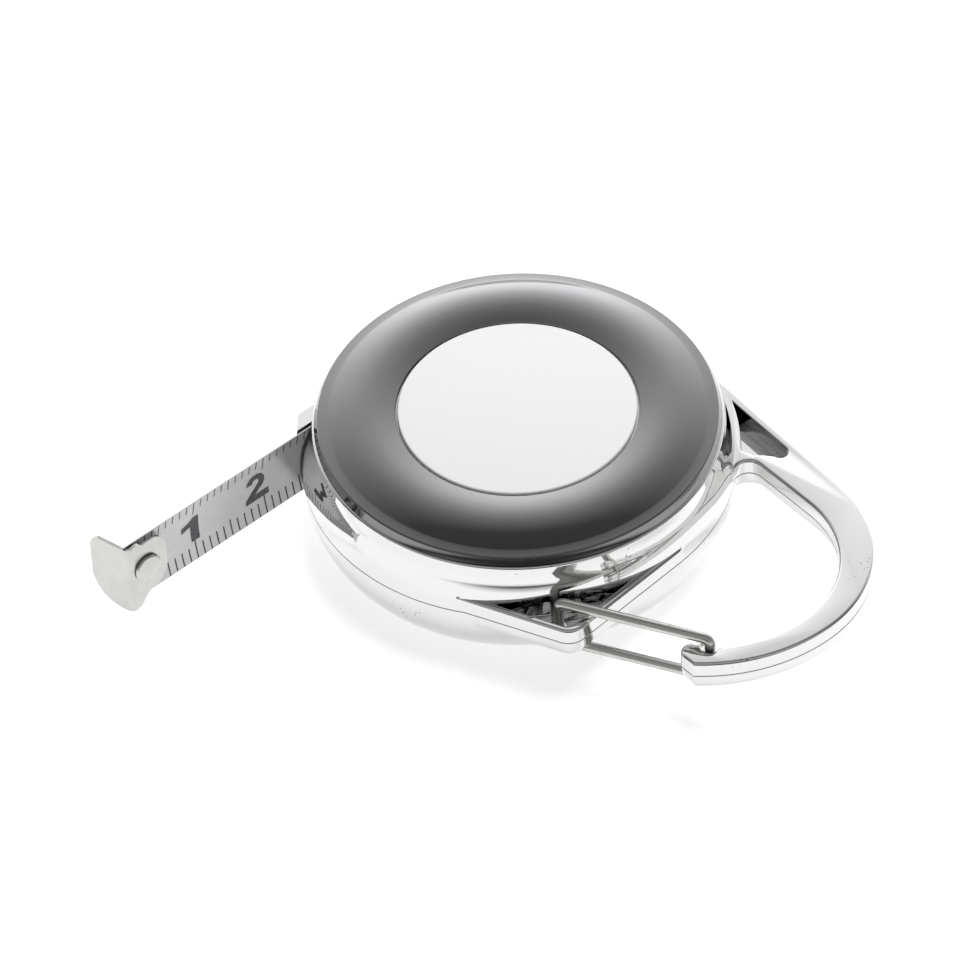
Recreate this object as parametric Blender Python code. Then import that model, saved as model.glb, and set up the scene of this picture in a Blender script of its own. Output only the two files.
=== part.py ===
"""Key-ring tape measure: a round two-shell case with a carabiner, a sprung reel and a steel tape.

Metres, +Z up. The case stands on its flat underside, centred on the Z axis at z = 0.
The carabiner points along +X and the tape leaves the case towards -Y.
"""
import math

import bmesh
import bpy
from mathutils import Matrix, Vector

MM = 0.001
FULL = 2.0 * math.pi
GAP = 0.0002                    # clearance between neighbouring pieces

# --- case -------------------------------------------------------------------------------------
CASE_RADIUS = 24.1 * MM         # widest point of the bowl
CASE_WIDEST_Z = 8.2 * MM
BASE_RADIUS = 18.7 * MM         # flat underside
SEAM_Z = 8.5 * MM               # joint between the two shells
CREASE_RADIUS = 23.2 * MM
CREASE_Z = 12.2 * MM
RIM_RADIUS = 22.75 * MM
DECK_TOP = 14.6 * MM            # deck under the trim ring and the button
DECK_BOTTOM = 14.2 * MM
DECK_HOLE_RADIUS = 5.6 * MM
WALL = 1.2 * MM
CASE_SIDES = 60
INNER_SIDES = 40

# --- carabiner frame --------------------------------------------------------------------------
FRAME_TOP = 10.4 * MM
FRAME_BOTTOM = 6.4 * MM
SIDE_ANGLE = math.radians(14.0)     # slope of the two straight sides
SIDE_OFFSET = 23.7 * MM             # distance of those sides from the case axis
FRONT_WALL = 0.8 * MM               # thin walls beside the two pockets
BACK_WALL = 1.05 * MM
POCKET_RADIUS = 24.5 * MM             # case side of the back pocket
POCKET_END = math.radians(35.4)
HOOK_CENTRE = Vector((28.4, 1.2)) * MM
NOSE_TURN = math.radians(-10.0)     # where the outer arc opens out towards the nose
NOSE_RADIUS = 20.0 * MM
NOSE_END = math.radians(-55.5)
NOSE_TIP = Vector((34.2, -12.95)) * MM
NOSE_TIP_RADIUS = 1.35 * MM
NOTCH_RADIUS = 0.8 * MM
INNER_CENTRE = Vector((28.6, 0.0)) * MM
INNER_RADIUS = 12.4 * MM
INNER_TURN = math.radians(-15.0)    # where the inner arc opens out towards the nose
INNER_NOSE_RADIUS = 16.0 * MM
INNER_ANGLE = math.radians(79.3)    # normal of the straight inner edge
ROOT_FILLET = 1.7 * MM
POCKET_FLOOR = 7.8 * MM
BRACKET_WALL = 1.0 * MM
BRACKET_X = 24.0 * MM               # the bracket's end wall where it leaves the case
BRACKET_SLOPE = math.radians(5.3)   # its lean back towards the case
BRACKET_ROUND = 2.2 * MM            # radius of its outer corner

# --- gate -------------------------------------------------------------------------------------
WIRE_RADIUS = 0.6 * MM
GATE_PIVOT = Vector((18.85, -16.85)) * MM
GATE_TIP = Vector((35.3, -11.35)) * MM
GATE_UPPER_Z = 11.5 * MM
GATE_LOWER_Z = 5.65 * MM
GATE_BEND = 0.85 * MM

# --- tape -------------------------------------------------------------------------------------
TAPE_WIDTH = 8.7 * MM
TAPE_CENTRE_Z = 9.5 * MM
TAPE_THICKNESS = 0.2 * MM
TAPE_SAGITTA = 0.55 * MM            # depth of the tape's curved section
TAPE_OFFSET = 15.5 * MM             # distance of the tape's line from the case axis
TAPE_ANGLE = math.radians(9.46)     # the tape leans this far from -Y towards -X
TAPE_OUT = Vector((-math.sin(TAPE_ANGLE), -math.cos(TAPE_ANGLE), 0.0))
TAPE_SIDE = Vector((-math.cos(TAPE_ANGLE), math.sin(TAPE_ANGLE), 0.0))
TAPE_ZERO = 43.7 * MM               # scale zero, along the tape from its tangent point on the reel
TAPE_INNER_END = 8.0 * MM
RIVET_AT = 2.45 * MM                # from scale zero
RIVET_RISE = 0.2 * MM               # above the tape's middle

# --- reel -------------------------------------------------------------------------------------
COIL_INNER = 12.15 * MM
COIL_OUTER = 15.2 * MM
DRUM_INNER = 10.9 * MM
DRUM_OUTER = 11.85 * MM
REEL_BOTTOM = 4.0 * MM
REEL_TOP = 13.5 * MM
REEL_FLANGE_RADIUS = 15.6 * MM
POST_RADIUS = 2.2 * MM
BUTTON_RADIUS = 13.2 * MM
BUTTON_TOP = 16.5 * MM
RING_OUTER = 22.5 * MM
RING_LIP = 22.15 * MM               # outer edge of the flat lip; the side below it tapers out
RING_LIP_Z = 15.7 * MM
RING_INNER = 13.45 * MM
RING_INNER_Z = 16.35 * MM
DOME_FOOT = 21.05 * MM
DOME_RISE = 0.85 * MM               # of the crown above a straight line from foot to inner edge
SCREW_CIRCLE = 18.6 * MM
SCREW_ANGLES = (50.0, 170.0, 290.0)


def clear_scene():
    for thing in list(bpy.data.objects):
        bpy.data.objects.remove(thing, do_unlink=True)


def material(name, colour, metallic, roughness):
    """A Principled material with one colour, metallic value and roughness."""
    made = bpy.data.materials.new(name)
    made.use_nodes = True
    shader = made.node_tree.nodes["Principled BSDF"]
    shader.inputs["Base Color"].default_value = (*colour, 1.0)
    shader.inputs["Metallic"].default_value = metallic
    shader.inputs["Roughness"].default_value = roughness
    return made


def add_object(name, bm, finish=None):
    """Turn a bmesh into a named object with outward normals and smooth round faces."""
    bmesh.ops.remove_doubles(bm, verts=bm.verts, dist=1e-7)
    bmesh.ops.recalc_face_normals(bm, faces=bm.faces)
    mesh = bpy.data.meshes.new(name)
    bm.to_mesh(mesh)
    bm.free()
    mesh.shade_smooth()
    mesh.set_sharp_from_angle(angle=math.radians(35.0))
    made = bpy.data.objects.new(name, mesh)
    bpy.context.scene.collection.objects.link(made)
    if finish:
        mesh.materials.append(finish)
    return made


def set_origin(piece, point):
    """Move a piece's origin to a point, such as a place on its joint axis, without moving its shape."""
    shift = Vector(point)
    piece.data.transform(Matrix.Translation(-shift))
    piece.location = shift


def turned(name, profile, finish=None, sides=CASE_SIDES):
    """Turn a closed (radius, z) profile about the Z axis. Points at radius 0 become poles."""
    bm = bmesh.new()
    rings = []
    for radius, height in profile:
        if radius < 1e-9:
            rings.append([bm.verts.new((0.0, 0.0, height))])
            continue
        ring = []
        for step in range(sides):
            angle = FULL * step / sides
            ring.append(bm.verts.new((radius * math.cos(angle), radius * math.sin(angle), height)))
        rings.append(ring)
    for first, second in zip(rings, rings[1:] + rings[:1]):
        if len(first) == 1 and len(second) == 1:
            continue
        for step in range(sides):
            after = (step + 1) % sides
            corners = {first[step % len(first)]: None, first[after % len(first)]: None}
            corners.update({second[after % len(second)]: None, second[step % len(second)]: None})
            bm.faces.new(list(corners))
    return add_object(name, bm, finish)


def prism(name, outline, low, high, finish=None):
    """Extrude a closed XY outline between two heights."""
    bm = bmesh.new()
    bottom = [bm.verts.new((point[0], point[1], low)) for point in outline]
    top = [bm.verts.new((point[0], point[1], high)) for point in outline]
    bm.faces.new(bottom)
    bm.faces.new(top)
    for index in range(len(outline)):
        after = (index + 1) % len(outline)
        bm.faces.new((bottom[index], bottom[after], top[after], top[index]))
    return add_object(name, bm, finish)


def cylinder(name, centre, radius, low, high, finish=None, sides=16):
    """An upright cylinder."""
    return prism(name, arc(centre, radius, 0.0, FULL * (sides - 1) / sides, sides), low, high, finish)


def combine(target, tool, operation):
    """Apply one exact Boolean to the target and remove the tool."""
    step = target.modifiers.new("combine", "BOOLEAN")
    step.operation = operation
    step.solver = "EXACT"
    step.object = tool
    graph = bpy.context.evaluated_depsgraph_get()
    result = bpy.data.meshes.new_from_object(target.evaluated_get(graph))
    target.modifiers.remove(step)
    target.data = result
    bpy.data.objects.remove(tool, do_unlink=True)
    result.shade_smooth()
    result.set_sharp_from_angle(angle=math.radians(35.0))


def direction(angle):
    return Vector((math.cos(angle), math.sin(angle)))


def arc(centre, radius, start, end, count):
    """Points on an arc, both ends included."""
    points = []
    for step in range(count):
        angle = start + (end - start) * step / (count - 1)
        points.append(Vector(centre) + radius * direction(angle))
    return points


def side_arc_radius():
    """Radius of the outer arc that meets the straight back side smoothly."""
    normal = direction(math.pi / 2 - SIDE_ANGLE)
    return SIDE_OFFSET - normal.dot(HOOK_CENTRE)


def bracket_corner(offset, wall_x):
    """Where the front side line, at an offset from the axis, meets the bracket's end wall."""
    normal = direction(SIDE_ANGLE - math.pi / 2)
    along = Vector((-math.sin(BRACKET_SLOPE), -math.cos(BRACKET_SLOPE)))
    start = Vector((wall_x, -2.0 * MM))
    return start + along * ((offset - normal.dot(start)) / normal.dot(along))


def frame_outline():
    """Plan of the carabiner: straight sides, the hook, its nose with the gate notch, and the bracket."""
    back_normal = math.pi / 2 - SIDE_ANGLE
    tangent_back = SIDE_OFFSET * direction(back_normal)
    tangent_front = Vector((tangent_back.x, -tangent_back.y))
    outer_radius = side_arc_radius()
    nose_centre = HOOK_CENTRE + (outer_radius - NOSE_RADIUS) * direction(NOSE_TURN)
    inner_normal = direction(INNER_ANGLE)
    inner_offset = inner_normal.dot(INNER_CENTRE) + INNER_RADIUS
    wall_radius = CASE_RADIUS - 0.1 * MM
    reach = wall_radius + ROOT_FILLET
    fillet_height = inner_offset - ROOT_FILLET
    fillet_along = math.sqrt(reach * reach - fillet_height * fillet_height)
    fillet_centre = fillet_height * inner_normal + fillet_along * Vector((inner_normal.y, -inner_normal.x))
    fillet_start = math.atan2(-fillet_centre.y, -fillet_centre.x) + FULL
    notch_x = GATE_TIP.x + NOTCH_RADIUS
    opening = INNER_CENTRE + (INNER_RADIUS - INNER_NOSE_RADIUS) * direction(INNER_TURN)
    notch_drop = math.sqrt(INNER_NOSE_RADIUS ** 2 - (notch_x - opening.x) ** 2)
    opening_end = math.atan2(-notch_drop, notch_x - opening.x)
    round_centre = bracket_corner(SIDE_OFFSET - BRACKET_ROUND, BRACKET_X - BRACKET_ROUND)

    points = [tangent_front]
    points += arc(round_centre, BRACKET_ROUND, SIDE_ANGLE - math.pi / 2, -BRACKET_SLOPE, 7)
    points += [Vector((BRACKET_X, -2.0 * MM)), Vector((22.8, 4.0)) * MM]
    points += arc(fillet_centre, ROOT_FILLET, fillet_start, INNER_ANGLE, 8)
    points += arc(INNER_CENTRE, INNER_RADIUS, INNER_ANGLE, INNER_TURN, 18)
    points += arc(opening, INNER_NOSE_RADIUS, INNER_TURN, opening_end, 6)[1:]
    points += arc(GATE_TIP, NOTCH_RADIUS, 0.0, -math.pi, 9)
    points += [Vector((34.5, -11.1)) * MM, Vector((33.9, -11.25)) * MM]
    points += arc(NOSE_TIP, NOSE_TIP_RADIUS, math.radians(135.0), math.radians(255.0), 8)
    points += arc(nose_centre, NOSE_RADIUS, NOSE_END, NOSE_TURN, 9)
    points += arc(HOOK_CENTRE, outer_radius, NOSE_TURN, back_normal, 26)[1:]
    points.append(tangent_back)
    return points


def front_pocket_outline():
    """Triangle between the case, the front side and the bracket's end wall."""
    offset = SIDE_OFFSET - FRONT_WALL
    corner_radius = BRACKET_ROUND - BRACKET_WALL
    tip = offset * direction(SIDE_ANGLE - math.pi / 2)
    corner = bracket_corner(offset - corner_radius, BRACKET_X - BRACKET_WALL - corner_radius)
    top = bracket_corner(10.0 * MM, BRACKET_X - BRACKET_WALL)
    turn = arc(corner, corner_radius, SIDE_ANGLE - math.pi / 2, -BRACKET_SLOPE, 5)
    return [tip] + turn + [top, Vector((18.0, -4.0)) * MM]


def back_pocket_outline():
    """Triangle between the case, the back side and the bar that runs from the root of the loop."""
    offset = SIDE_OFFSET - BACK_WALL
    normal = math.pi / 2 - SIDE_ANGLE
    end = Vector((23.6, 16.55)) * MM
    turn = arc(end, offset - direction(normal).dot(end), normal, math.radians(-95.0), 7)
    first = normal - math.acos(offset / POCKET_RADIUS)
    case_side = arc((0.0, 0.0), POCKET_RADIUS, first, POCKET_END, 7)
    bar = [Vector(spot) * MM for spot in ((21.5, 14.4), (22.4, 15.1))]
    return case_side + bar + turn[::-1]


def frame_half(low, high):
    """One half of the carabiner between two heights, with both pockets open to the given floor."""
    half = prism("frame_half", frame_outline(), low, high)
    floor = max(low - MM, POCKET_FLOOR)
    for outline in (front_pocket_outline(), back_pocket_outline()):
        combine(half, prism("pocket", outline, floor, high + MM), "DIFFERENCE")
    return half


def lower_wall(radius, low_radius, depth, count=9):
    """Quarter of an ellipse from the flat underside up to the widest point."""
    points = []
    for step in range(count):
        angle = math.pi / 2 * step / (count - 1)
        across = low_radius + (radius - low_radius) * math.sin(angle)
        points.append((across, CASE_WIDEST_Z - depth * math.cos(angle)))
    return points


def tape_point(along, side=0.0, height=0.0):
    """A point given along the tape from its tangent point, sideways off its line, and up."""
    base = TAPE_OFFSET * TAPE_SIDE
    return base + along * TAPE_OUT + side * TAPE_SIDE + Vector((0.0, 0.0, height))


def tape_box(name, along, side, heights, finish=None):
    """A box whose sides run along the tape: (from, to) along it, (from, to) sideways, and heights."""
    corners = [(along[0], side[0]), (along[1], side[0]), (along[1], side[1]), (along[0], side[1])]
    return prism(name, [tape_point(a, s).xy for a, s in corners], heights[0], heights[1], finish)


def cut_mouth(shell):
    """The slot that the tape and its guide pass through."""
    combine(shell, tape_box("mouth", (12.0 * MM, 26.0 * MM), (-0.85 * MM, 2.6 * MM),
                            (4.45 * MM, DECK_BOTTOM - 0.1 * MM)), "DIFFERENCE")


def screw_spots():
    for degrees in SCREW_ANGLES:
        yield SCREW_CIRCLE * direction(math.radians(degrees))


def make_lower_case(finish):
    top = SEAM_Z - GAP / 2
    outer = [(0.0, 0.0)] + lower_wall(CASE_RADIUS, BASE_RADIUS, CASE_WIDEST_Z)
    outer += [(CASE_RADIUS - 0.05 * MM, top), (0.0, top)]
    shell = turned("lower_case", outer, finish)
    combine(shell, frame_half(FRAME_BOTTOM, top), "UNION")
    inner = [(0.0, WALL)] + lower_wall(CASE_RADIUS - WALL, BASE_RADIUS - 1.2 * MM, CASE_WIDEST_Z - WALL)
    inner += [(CASE_RADIUS - WALL, top + MM), (0.0, top + MM)]
    combine(shell, turned("cavity", inner), "DIFFERENCE")
    for spot in screw_spots():
        combine(shell, cylinder("boss", spot, 1.95 * MM, 0.9 * MM, top), "UNION")
    combine(shell, cylinder("socket", (0.0, 0.0), 2.4 * MM, 0.6 * MM, 3.2 * MM), "UNION")
    combine(shell, cylinder("socket_bore", (0.0, 0.0), 1.5 * MM, 1.5 * MM, 4.0 * MM), "DIFFERENCE")
    for spot in screw_spots():
        combine(shell, cylinder("head_bore", spot, 1.6 * MM, -MM, 2.6 * MM), "DIFFERENCE")
        combine(shell, cylinder("shank_bore", spot, 1.0 * MM, 2.0 * MM, top + MM), "DIFFERENCE")
    combine(shell, cylinder("pivot_hole", GATE_PIVOT, 0.85 * MM, 5.0 * MM, 9.0 * MM), "DIFFERENCE")
    cut_mouth(shell)
    return shell


def make_upper_case(finish):
    bottom = SEAM_Z + GAP / 2
    outer = [(0.0, bottom), (CASE_RADIUS - 0.05 * MM, bottom), (CASE_RADIUS - 0.25 * MM, 10.2 * MM),
             (CREASE_RADIUS, CREASE_Z), (RIM_RADIUS, DECK_TOP - 0.4 * MM), (RIM_RADIUS - 0.3 * MM, DECK_TOP),
             (0.0, DECK_TOP)]
    shell = turned("upper_case", outer, finish)
    combine(shell, frame_half(bottom, FRAME_TOP), "UNION")
    inner = [(0.0, bottom - MM), (CASE_RADIUS - WALL, bottom - MM), (CASE_RADIUS - WALL - 0.2 * MM, 10.2 * MM),
             (CREASE_RADIUS - WALL, CREASE_Z), (RIM_RADIUS - WALL, DECK_BOTTOM), (0.0, DECK_BOTTOM)]
    combine(shell, turned("cavity", inner), "DIFFERENCE")
    combine(shell, cylinder("deck_hole", (0.0, 0.0), DECK_HOLE_RADIUS, 12.0 * MM, 16.0 * MM, sides=32),
            "DIFFERENCE")
    for spot in screw_spots():
        combine(shell, cylinder("boss", spot, 1.95 * MM, bottom, 14.4 * MM), "UNION")
        combine(shell, cylinder("thread_bore", spot, 0.9 * MM, bottom - MM, 12.6 * MM), "DIFFERENCE")
    cut_mouth(shell)
    return shell


def make_trim_ring(finish):
    """Domed ring: a flat lip outside, a low dome, and a rebate inside over the button's flange."""
    rebate = 14.2 * MM
    under = DECK_TOP + GAP
    profile = [(rebate, under), (rebate, 15.9 * MM), (RING_INNER, 15.9 * MM)]
    steps = 7
    for step in range(steps + 1):
        share = step / steps
        radius = RING_INNER + (DOME_FOOT - RING_INNER) * share
        straight = RING_INNER_Z + (RING_LIP_Z - RING_INNER_Z) * share
        profile.append((radius, straight + DOME_RISE * math.sin(math.pi * share)))
    profile += [(RING_LIP - 0.15 * MM, RING_LIP_Z), (RING_LIP, RING_LIP_Z - 0.15 * MM), (RING_OUTER, under)]
    return turned("trim_ring", profile, finish)


def make_release_button(finish):
    """White disc with a retaining flange and a hollow boss that presses on the reel."""
    flange = BUTTON_RADIUS + 0.65 * MM
    profile = [(0.0, 14.9 * MM), (3.5 * MM, 14.9 * MM), (3.5 * MM, 13.75 * MM), (5.2 * MM, 13.75 * MM),
               (5.2 * MM, 15.35 * MM), (flange, 15.35 * MM), (flange, 15.7 * MM), (BUTTON_RADIUS, 15.7 * MM),
               (BUTTON_RADIUS, BUTTON_TOP - 0.15 * MM), (BUTTON_RADIUS - 0.2 * MM, BUTTON_TOP),
               (0.0, BUTTON_TOP)]
    return turned("release_button", profile, finish)


def make_brake_ring(finish):
    profile = [(10.9 * MM, 13.7 * MM), (12.0 * MM, 13.7 * MM), (12.0 * MM, 14.0 * MM), (10.9 * MM, 14.0 * MM)]
    return turned("brake_ring", profile, finish, INNER_SIDES)


def make_reel(finish):
    """Drum with one flange below the tape and a bearing sleeve round the post."""
    hub = POST_RADIUS + 0.25 * MM
    profile = [(hub, REEL_BOTTOM), (REEL_FLANGE_RADIUS, REEL_BOTTOM), (REEL_FLANGE_RADIUS, 4.7 * MM),
               (DRUM_OUTER, 4.7 * MM), (DRUM_OUTER, REEL_TOP), (DRUM_INNER, REEL_TOP), (DRUM_INNER, 4.7 * MM),
               (hub, 4.7 * MM)]
    return turned("reel", profile, finish, INNER_SIDES)


def make_reel_cover(finish):
    """Disc that closes the drum over the mainspring; the button's boss presses on its raised hub."""
    edge = DRUM_INNER - GAP
    profile = [(POST_RADIUS + 0.25 * MM, 12.7 * MM), (edge, 12.7 * MM), (edge, 13.3 * MM), (5.8 * MM, 13.3 * MM),
               (5.8 * MM, REEL_TOP), (POST_RADIUS + 0.25 * MM, REEL_TOP)]
    return turned("reel_cover", profile, finish, INNER_SIDES)


def make_mainspring(finish):
    """Flat spiral spring between the post and the drum wall."""
    turns = 6
    steps = 20 * turns
    inner = 2.95 * MM
    outer = 10.35 * MM
    half = 0.16 * MM
    low = 5.0 * MM
    high = 12.4 * MM
    bm = bmesh.new()
    sections = []
    for step in range(steps + 1):
        share = step / steps
        radius = inner + (outer - inner) * share
        aim = direction(FULL * turns * share)
        section = []
        for offset, height in ((-half, low), (half, low), (half, high), (-half, high)):
            spot = (radius + offset) * aim
            section.append(bm.verts.new((spot.x, spot.y, height)))
        sections.append(section)
    for first, second in zip(sections, sections[1:]):
        for index in range(4):
            after = (index + 1) % 4
            bm.faces.new((first[index], first[after], second[after], second[index]))
    bm.faces.new(sections[0])
    bm.faces.new(sections[-1])
    return add_object("mainspring", bm, finish)


def make_tape_coil(finish):
    profile = [(COIL_INNER, 5.0 * MM), (COIL_OUTER, 5.0 * MM), (COIL_OUTER, 13.7 * MM), (COIL_INNER, 13.7 * MM)]
    return turned("tape_coil", profile, finish, INNER_SIDES)


def make_centre_post(finish):
    """Post pressed into its socket, with a slot for the mainspring's inner end."""
    chamfer = 0.3 * MM
    profile = [(0.0, 1.65 * MM), (1.35 * MM, 1.65 * MM), (1.35 * MM, 3.4 * MM), (POST_RADIUS, 3.4 * MM),
               (POST_RADIUS, 13.0 * MM - chamfer), (POST_RADIUS - chamfer, 13.0 * MM), (0.0, 13.0 * MM)]
    post = turned("centre_post", profile, finish, 20)
    slot = 0.35 * MM
    outline = [(-slot, -3.0 * MM), (slot, -3.0 * MM), (slot, 3.0 * MM), (-slot, 3.0 * MM)]
    combine(post, prism("slot", outline, 6.0 * MM, 14.0 * MM), "DIFFERENCE")
    return post


def make_reel_washer(finish):
    profile = [(POST_RADIUS + 0.3 * MM, 3.5 * MM), (5.2 * MM, 3.5 * MM), (5.2 * MM, 3.8 * MM),
               (POST_RADIUS + 0.3 * MM, 3.8 * MM)]
    return turned("reel_washer", profile, finish, 24)


def tube(name, points, radius, finish, resolution=2):
    """A round wire through the points, with filled ends, turned into a mesh."""
    curve = bpy.data.curves.new(name, "CURVE")
    curve.dimensions = "3D"
    curve.bevel_depth = radius
    curve.bevel_resolution = resolution
    curve.use_fill_caps = True
    spline = curve.splines.new("POLY")
    spline.points.add(len(points) - 1)
    for slot, point in zip(spline.points, points):
        slot.co = (*point, 1.0)
    guide = bpy.data.objects.new(name + "_path", curve)
    bpy.context.scene.collection.objects.link(guide)
    graph = bpy.context.evaluated_depsgraph_get()
    bm = bmesh.new()
    bm.from_mesh(guide.evaluated_get(graph).to_mesh())
    bpy.data.objects.remove(guide, do_unlink=True)
    return add_object(name, bm, finish)


def make_reel_spring(finish):
    """Coil spring round the socket that lifts the reel against the brake ring."""
    turns = 2.5
    steps = 30
    radius = 3.9 * MM
    wire = 0.25 * MM
    low = WALL + wire + 0.15 * MM
    high = 3.5 * MM - wire - 0.15 * MM
    points = []
    for step in range(steps + 1):
        share = step / steps
        spot = radius * direction(FULL * turns * share)
        points.append(Vector((spot.x, spot.y, low + (high - low) * share)))
    return tube("reel_spring", points, wire, finish)


def curved_bar(name, ends, heights, sides, finish=None):
    """A bar along the tape that follows the tape's curved section between two sideways offsets."""
    steps = 8
    bm = bmesh.new()
    loops = []
    for along in ends:
        rows = ([], [])
        for step in range(steps + 1):
            height = heights[0] + (heights[1] - heights[0]) * step / steps
            share = (height - TAPE_CENTRE_Z) / (TAPE_WIDTH / 2)
            bulge = TAPE_SAGITTA * (1.0 - share * share)
            for row, side in zip(rows, sides):
                row.append(bm.verts.new(tape_point(along, bulge + side, height)))
        loops.append(rows[0] + rows[1][::-1])
    for index in range(len(loops[0])):
        after = (index + 1) % len(loops[0])
        bm.faces.new((loops[0][index], loops[0][after], loops[1][after], loops[1][index]))
    bm.faces.new(loops[0])
    bm.faces.new(loops[1])
    return add_object(name, bm, finish)


def make_tape_blade(finish):
    """The straight run of tape from inside the case to the scale's zero."""
    heights = (TAPE_CENTRE_Z - TAPE_WIDTH / 2, TAPE_CENTRE_Z + TAPE_WIDTH / 2)
    blade = curved_bar("tape_blade", (TAPE_INNER_END, TAPE_ZERO), heights, (0.0, TAPE_THICKNESS), finish)
    combine(blade, rivet_cylinder("rivet_hole", 0.95 * MM, -2.0 * MM, 3.0 * MM), "DIFFERENCE")
    return blade


def rivet_cylinder(name, radius, low, high, finish=None, sides=20):
    """A cylinder through the hook and the tape, across the tape's plane."""
    bm = bmesh.new()
    bmesh.ops.create_cone(bm, cap_ends=True, segments=sides, radius1=radius, radius2=radius, depth=high - low)
    place = Matrix.Identity(4)
    for row in range(3):
        place[row][0] = TAPE_OUT[row]
        place[row][1] = (0.0, 0.0, 1.0)[row]
        place[row][2] = TAPE_SIDE[row]
    centre = tape_point(TAPE_ZERO - RIVET_AT, (low + high) / 2, TAPE_CENTRE_Z + RIVET_RISE)
    bm.transform(Matrix.Translation(centre) @ place)
    return add_object(name, bm, finish)


def make_end_hook(finish):
    """Plate on the printed face with a flange bent back across the end of the tape."""
    thick = 0.4 * MM
    zero = TAPE_ZERO
    middle = TAPE_CENTRE_Z
    face = -0.2 * MM
    splay = math.radians(18.0)
    flange = 4.6 * MM
    plate = [(zero - 5.3 * MM, middle + 1.9 * MM), (zero - 4.5 * MM, middle + 3.5 * MM),
             (zero - 3.6 * MM, middle + 3.9 * MM), (zero, middle + 4.1 * MM), (zero, middle - 5.6 * MM),
             (zero - 1.4 * MM, middle - 5.6 * MM), (zero - 3.0 * MM, middle - 3.9 * MM),
             (zero - 4.6 * MM, middle - 3.2 * MM), (zero - 5.3 * MM, middle - 1.2 * MM)]
    bm = bmesh.new()
    near = [bm.verts.new(tape_point(a, face - thick, h)) for a, h in plate]
    far = [bm.verts.new(tape_point(a, face, h)) for a, h in plate]
    bm.faces.new(near)
    bm.faces.new(far)
    for index in range(len(plate)):
        after = (index + 1) % len(plate)
        bm.faces.new((near[index], near[after], far[after], far[index]))
    hook = add_object("end_hook", bm, finish)
    reach = [(0.0, 4.1 * MM, -5.6 * MM), (0.5, 4.4 * MM, -5.1 * MM), (0.8, 4.55 * MM, -3.9 * MM),
             (0.95, 3.6 * MM, -2.2 * MM), (1.0, 1.8 * MM, -0.9 * MM)]
    bm = bmesh.new()
    sections = []
    for share, upper, lower in reach:
        side = face - thick + share * (flange + thick) * math.cos(splay)
        along = zero - 0.1 * MM + share * flange * math.sin(splay)
        section = []
        for extra, height in ((0.0, lower), (thick + 0.1 * MM, lower), (thick + 0.1 * MM, upper), (0.0, upper)):
            section.append(bm.verts.new(tape_point(along + extra, side, middle + height)))
        sections.append(section)
    for first, second in zip(sections, sections[1:]):
        for index in range(4):
            after = (index + 1) % 4
            bm.faces.new((first[index], first[after], second[after], second[index]))
    bm.faces.new(sections[0])
    bm.faces.new(sections[-1])
    combine(hook, add_object("flange", bm), "UNION")
    combine(hook, rivet_cylinder("rivet_hole", 0.95 * MM, -2.0 * MM, 3.0 * MM), "DIFFERENCE")
    return hook


def make_hook_rivet(finish):
    rivet = rivet_cylinder("hook_rivet", 0.75 * MM, -0.9 * MM, 1.1 * MM, finish)
    combine(rivet, rivet_cylinder("head", 1.72 * MM, -1.05 * MM, -0.75 * MM), "UNION")
    combine(rivet, rivet_cylinder("tail", 1.3 * MM, 0.9 * MM, 1.2 * MM), "UNION")
    return rivet


def make_mouth_guide(finish):
    """Sleeve round the tape: a thin jamb on the printed side, a proud one behind, and a sill."""
    reach = (12.5 * MM, 25.0 * MM)
    sill = 4.65 * MM
    top = 13.9 * MM
    clear = 0.25 * MM
    guide = tape_box("mouth_guide", reach, (-0.65 * MM, 2.4 * MM), (sill, top), finish)
    way = curved_bar("way", (12.0 * MM, 26.0 * MM), (sill + 0.3 * MM, top + MM),
                     (-clear, TAPE_THICKNESS + clear))
    combine(guide, way, "DIFFERENCE")
    inside = [(0.0, 3.0 * MM), (22.0 * MM, 3.0 * MM), (22.0 * MM, 15.0 * MM), (0.0, 15.0 * MM)]
    combine(guide, turned("inside", inside), "DIFFERENCE")
    outside = [(0.0, 3.0 * MM), (24.2 * MM, 3.0 * MM), (24.6 * MM, 7.0 * MM), (24.6 * MM, 12.5 * MM),
               (24.2 * MM, 15.0 * MM), (0.0, 15.0 * MM)]
    combine(guide, turned("outside", outside), "INTERSECT")
    combine(guide, tape_box("face", (18.9 * MM, 26.0 * MM), (-1.0 * MM, TAPE_SAGITTA), (3.0 * MM, 15.0 * MM)),
            "DIFFERENCE")
    return guide


def bend(start, corner, end, radius, count=5):
    """Round a corner between two straight runs of wire."""
    into = (corner - start).normalized()
    away = (end - corner).normalized()
    half_turn = into.angle(away) / 2
    setback = radius * math.tan(half_turn)
    first = corner - into * setback
    last = corner + away * setback
    points = []
    for step in range(count):
        share = step / (count - 1)
        chord = first.lerp(last, share)
        pull = 4.0 * share * (1.0 - share)
        middle = first.lerp(last, 0.5)
        sag = setback * math.sin(half_turn) - radius * (1.0 - math.cos(half_turn))
        lift = (corner - middle).normalized()
        points.append(chord + lift * (pull * (setback * math.sin(half_turn) - sag)))
    return points


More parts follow.
